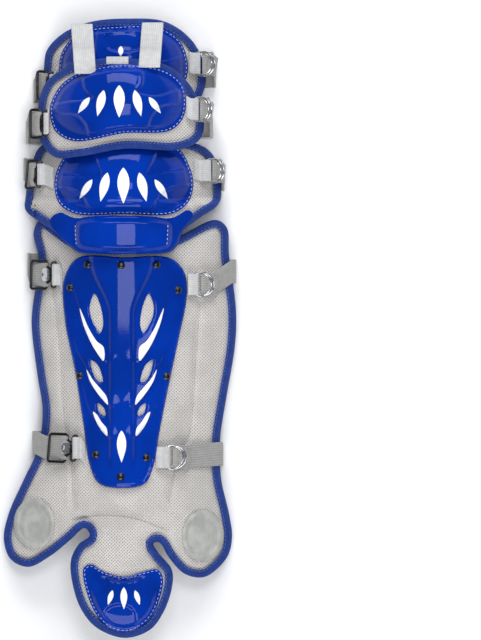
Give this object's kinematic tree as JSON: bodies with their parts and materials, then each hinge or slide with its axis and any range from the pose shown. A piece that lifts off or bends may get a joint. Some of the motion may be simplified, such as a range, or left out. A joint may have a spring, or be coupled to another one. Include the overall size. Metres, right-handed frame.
{
  "type": "catcher leg guard",
  "caption": "Padded sports leg guard with ankle lobes and a toe tongue, stacked knee and thigh flaps, moulded caps, a vented shin plate and elastic straps behind the leg.",
  "frame": {"origin": "middle of the underside, where the straps behind the leg rest", "axes": "+X across the guard to the ring side, +Y from the toe end to the thigh end, +Z out of the front of the guard"},
  "size_m": [0.2752, 0.7302, 0.1311],
  "materials": {
    "mesh_fabric": "warm light grey knit spacer mesh over foam",
    "binding_tape": "royal blue knit edge tape, matt",
    "moulded_shell": "glossy royal blue moulded plastic",
    "webbing": "light grey woven webbing",
    "elastic": "mid grey woven elastic",
    "black_hardware": "black coated metal, satin",
    "steel_ring": "plated steel wire",
    "rubber_patch": "grey moulded patch, matt"
  },
  "bodies": {
    "root": {"shin_pad": "mesh_fabric", "shin_binding": "binding_tape", "shin_plate": "moulded_shell", "rivet_01": "black_hardware", "rivet_02": "black_hardware", "rivet_03": "black_hardware", "rivet_04": "black_hardware", "rivet_05": "black_hardware", "rivet_06": "black_hardware", "rivet_07": "black_hardware", "rivet_08": "black_hardware", "rivet_09": "black_hardware", "rivet_10": "black_hardware", "toe_cap": "moulded_shell", "ankle_disc_left": "rubber_patch", "ankle_disc_right": "rubber_patch", "knee_pad": "mesh_fabric", "knee_binding": "binding_tape", "knee_cap": "moulded_shell", "knee_bar": "moulded_shell", "knee_gusset": "moulded_shell", "upper_knee_pad": "mesh_fabric", "upper_knee_binding": "binding_tape", "upper_knee_cap": "moulded_shell", "thigh_pad": "mesh_fabric", "thigh_binding": "binding_tape", "thigh_cap": "moulded_shell", "lift_strap_left": "webbing", "lift_strap_right": "webbing", "centre_tab": "webbing", "thigh_tab_left": "webbing", "thigh_tab_right": "webbing", "thigh_hook": "black_hardware", "thigh_ring": "steel_ring", "thigh_strap": "elastic", "upper_knee_tab_left": "webbing", "upper_knee_tab_right": "webbing", "upper_knee_hook": "black_hardware", "upper_knee_ring": "steel_ring", "upper_knee_strap": "elastic", "knee_tab_left": "webbing", "knee_tab_right": "webbing", "knee_hook": "black_hardware", "knee_ring": "steel_ring", "knee_strap": "elastic", "shin_tab_left": "webbing", "shin_tab_right": "webbing", "shin_hook": "black_hardware", "shin_ring": "steel_ring", "shin_strap": "elastic", "ankle_tab_left": "webbing", "ankle_tab_right": "webbing", "ankle_hook": "black_hardware", "ankle_ring": "steel_ring", "ankle_strap": "elastic"}
  },
  "joints": []
}
